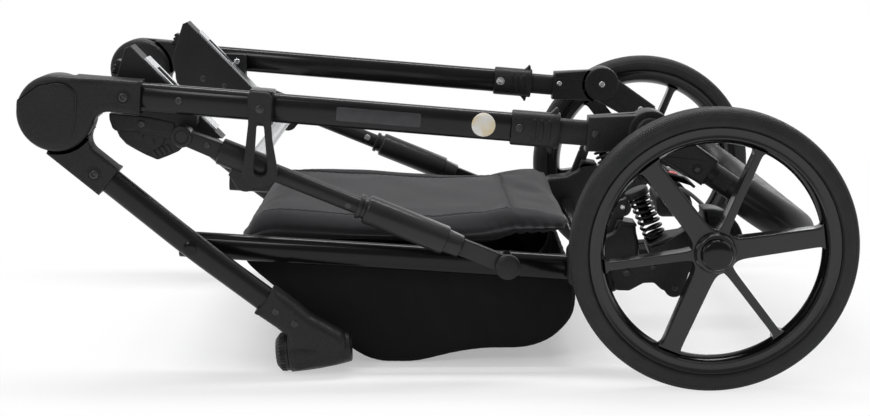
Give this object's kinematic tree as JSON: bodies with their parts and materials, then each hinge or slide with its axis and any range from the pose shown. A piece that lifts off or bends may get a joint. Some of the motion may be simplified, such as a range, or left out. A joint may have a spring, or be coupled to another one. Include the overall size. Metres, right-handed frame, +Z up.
{
  "type": "folded pram chassis",
  "caption": "Folded pram chassis with large spoked rear wheels, padded basket, seat adaptors and a tilting handlebar.",
  "frame": {"origin": "centre of the bounding box's bottom face, on the floor", "axes": "+Z up, +X towards the rear wheels and the folded handlebar, -Y towards the pram's left side"},
  "size_m": [0.8825, 0.6156, 0.3565],
  "materials": {
    "tube_black": "satin anodised",
    "plastic_black": "fine moulded grain",
    "tyre_rubber": "matt",
    "cable_black": "smooth sleeve",
    "rim_black": "gloss",
    "silver": "polished",
    "spring_black": "gloss coated",
    "grip_leather": "soft grain",
    "fabric_grey": "woven, padded",
    "fabric_black": "woven"
  },
  "bodies": {
    "chassis": {"lower_rail_left": "tube_black", "rear_housing_left": "plastic_black", "strut_knob_left": "plastic_black", "spring_left": "spring_black", "lower_rail_right": "tube_black", "rear_housing_right": "plastic_black", "strut_knob_right": "plastic_black", "spring_right": "spring_black", "rear_cross_tube": "tube_black", "basket": "fabric_black", "basket_lid": "fabric_grey"},
    "front_legs": {"front_leg_left": "tube_black", "knuckle_core_left": "plastic_black", "wheel_socket_left": "plastic_black", "front_leg_right": "tube_black", "knuckle_core_right": "plastic_black", "wheel_socket_right": "plastic_black", "front_cross_tube": "tube_black"},
    "upper_frame": {"knuckle_housing_left": "plastic_black", "upper_tube_left": "tube_black", "adaptor_left": "plastic_black", "adaptor_strip_left": "silver", "knuckle_housing_right": "plastic_black", "upper_tube_right": "tube_black", "adaptor_right": "plastic_black", "adaptor_strip_right": "silver", "hook_clamp": "plastic_black"},
    "strut_lower": {"strut_sleeve_left": "plastic_black", "strut_sleeve_right": "plastic_black"},
    "strut_upper": {"strut_head_left": "plastic_black", "strut_head_right": "plastic_black", "strut_cross_tube": "silver"},
    "handle_posts": {"handle_post_left": "plastic_black", "handle_post_right": "plastic_black"},
    "handlebar": {"handle_arm_left": "plastic_black", "handle_arm_right": "plastic_black", "handle_grip": "grip_leather"},
    "suspension": {"swing_arm_left": "plastic_black", "brake_cable_left": "cable_black", "swing_arm_right": "plastic_black", "brake_cable_right": "cable_black", "axle_tube": "tube_black", "brake_housing": "plastic_black"},
    "pedal": {"brake_pedal": "plastic_black"},
    "hook": {"transport_hook": "plastic_black"},
    "wheel_left": {"tyre_left": "tyre_rubber", "rim_left": "rim_black", "hub_cap_left": "plastic_black"},
    "lock_left": {"swivel_lock_left": "plastic_black"},
    "release_left": {"adaptor_button_left": "plastic_black"},
    "slider_left": {"collar_left": "plastic_black"},
    "tilt_release_left": {"tilt_button_left": "plastic_black"},
    "wheel_right": {"tyre_right": "tyre_rubber", "rim_right": "rim_black", "hub_cap_right": "plastic_black"},
    "lock_right": {"swivel_lock_right": "plastic_black"},
    "release_right": {"adaptor_button_right": "plastic_black"},
    "slider_right": {"collar_right": "plastic_black"},
    "tilt_release_right": {"tilt_button_right": "plastic_black"}
  },
  "joints": [
    {"name": "leg_fold", "type": "hinge", "parent": "chassis", "child": "front_legs", "pos_m": [-0.26331, 0, 0.14282], "axis": [0, 1, 0], "range_deg": [0, 85]},
    {"name": "knuckle_fold", "type": "hinge", "parent": "front_legs", "child": "upper_frame", "pos_m": [-0.4, 0, 0.2895], "axis": [0, 1, 0], "range_deg": [-142, 0]},
    {"name": "strut_swing", "type": "hinge", "parent": "chassis", "child": "strut_lower", "pos_m": [0.0784, 0, 0.1228], "axis": [0, 1, 0], "range_deg": [0, 45]},
    {"name": "strut_slide", "type": "slide", "parent": "strut_lower", "child": "strut_upper", "axis": [0.9262, 0, -0.3771], "range_m": [0, 0.086]},
    {"name": "handle_slide", "type": "slide", "parent": "upper_frame", "child": "handle_posts", "axis": [0.9966, 0, -0.0819], "range_m": [0, 0.1]},
    {"name": "handlebar_tilt", "type": "hinge", "parent": "handle_posts", "child": "handlebar", "pos_m": [0.227, 0, 0.269], "axis": [0, 1, 0], "range_deg": [-115, 0]},
    {"name": "suspension_swing", "type": "hinge", "parent": "chassis", "child": "suspension", "pos_m": [0.207, 0, 0.112], "axis": [0, 1, 0], "range_deg": [-4, 0], "stiffness_Nm_per_rad": 120, "deforming": ["spring_left", "spring_right"]},
    {"name": "pedal_rock", "type": "hinge", "parent": "suspension", "child": "pedal", "pos_m": [0.2885, 0, 0.1785], "axis": [0, 1, 0], "range_deg": [-8, 8]},
    {"name": "hook_swing", "type": "hinge", "parent": "upper_frame", "child": "hook", "pos_m": [-0.1833, -0.2466, 0.29496], "axis": [0, 1, 0], "range_deg": [-40, 60]},
    {"name": "wheel_spin_left", "type": "hinge", "parent": "suspension", "child": "wheel_left", "pos_m": [0.2905, -0.28, 0.151], "axis": [0, 1, 0], "continuous": true},
    {"name": "lock_turn_left", "type": "hinge", "parent": "front_legs", "child": "lock_left", "pos_m": [-0.16, -0.2175, 0.02271], "axis": [0.9962, 0, 0.0872], "range_deg": [0, 90]},
    {"name": "adaptor_release_left", "type": "slide", "parent": "upper_frame", "child": "release_left", "axis": [0.9397, 0, -0.342], "range_m": [0, 0.0035], "stiffness_N_per_m": 300},
    {"name": "fold_release_left", "type": "slide", "parent": "upper_frame", "child": "slider_left", "axis": [0.9966, 0, -0.0819], "range_m": [0, 0.01], "stiffness_N_per_m": 400},
    {"name": "tilt_press_left", "type": "slide", "parent": "handle_posts", "child": "tilt_release_left", "axis": [0, 1, 0], "range_m": [0, 0.002], "stiffness_N_per_m": 500},
    {"name": "wheel_spin_right", "type": "hinge", "parent": "suspension", "child": "wheel_right", "pos_m": [0.2905, 0.28, 0.151], "axis": [0, 1, 0], "continuous": true},
    {"name": "lock_turn_right", "type": "hinge", "parent": "front_legs", "child": "lock_right", "pos_m": [-0.16, 0.2175, 0.02271], "axis": [0.9962, 0, 0.0872], "range_deg": [0, 90]},
    {"name": "adaptor_release_right", "type": "slide", "parent": "upper_frame", "child": "release_right", "axis": [0.9397, 0, -0.342], "range_m": [0, 0.0035], "stiffness_N_per_m": 300},
    {"name": "fold_release_right", "type": "slide", "parent": "upper_frame", "child": "slider_right", "axis": [0.9966, 0, -0.0819], "range_m": [0, 0.01], "stiffness_N_per_m": 400},
    {"name": "tilt_press_right", "type": "slide", "parent": "handle_posts", "child": "tilt_release_right", "axis": [0, -1, 0], "range_m": [0, 0.002], "stiffness_N_per_m": 500}
  ],
  "couplings": [
    {"joint": "knuckle_fold", "follows": "leg_fold", "ratio": -1.6702},
    {"joint": "strut_swing", "follows": "leg_fold", "ratio": 0.52446},
    {"joint": "strut_slide", "follows": "leg_fold", "m_per_rad": 0.057431}
  ]
}
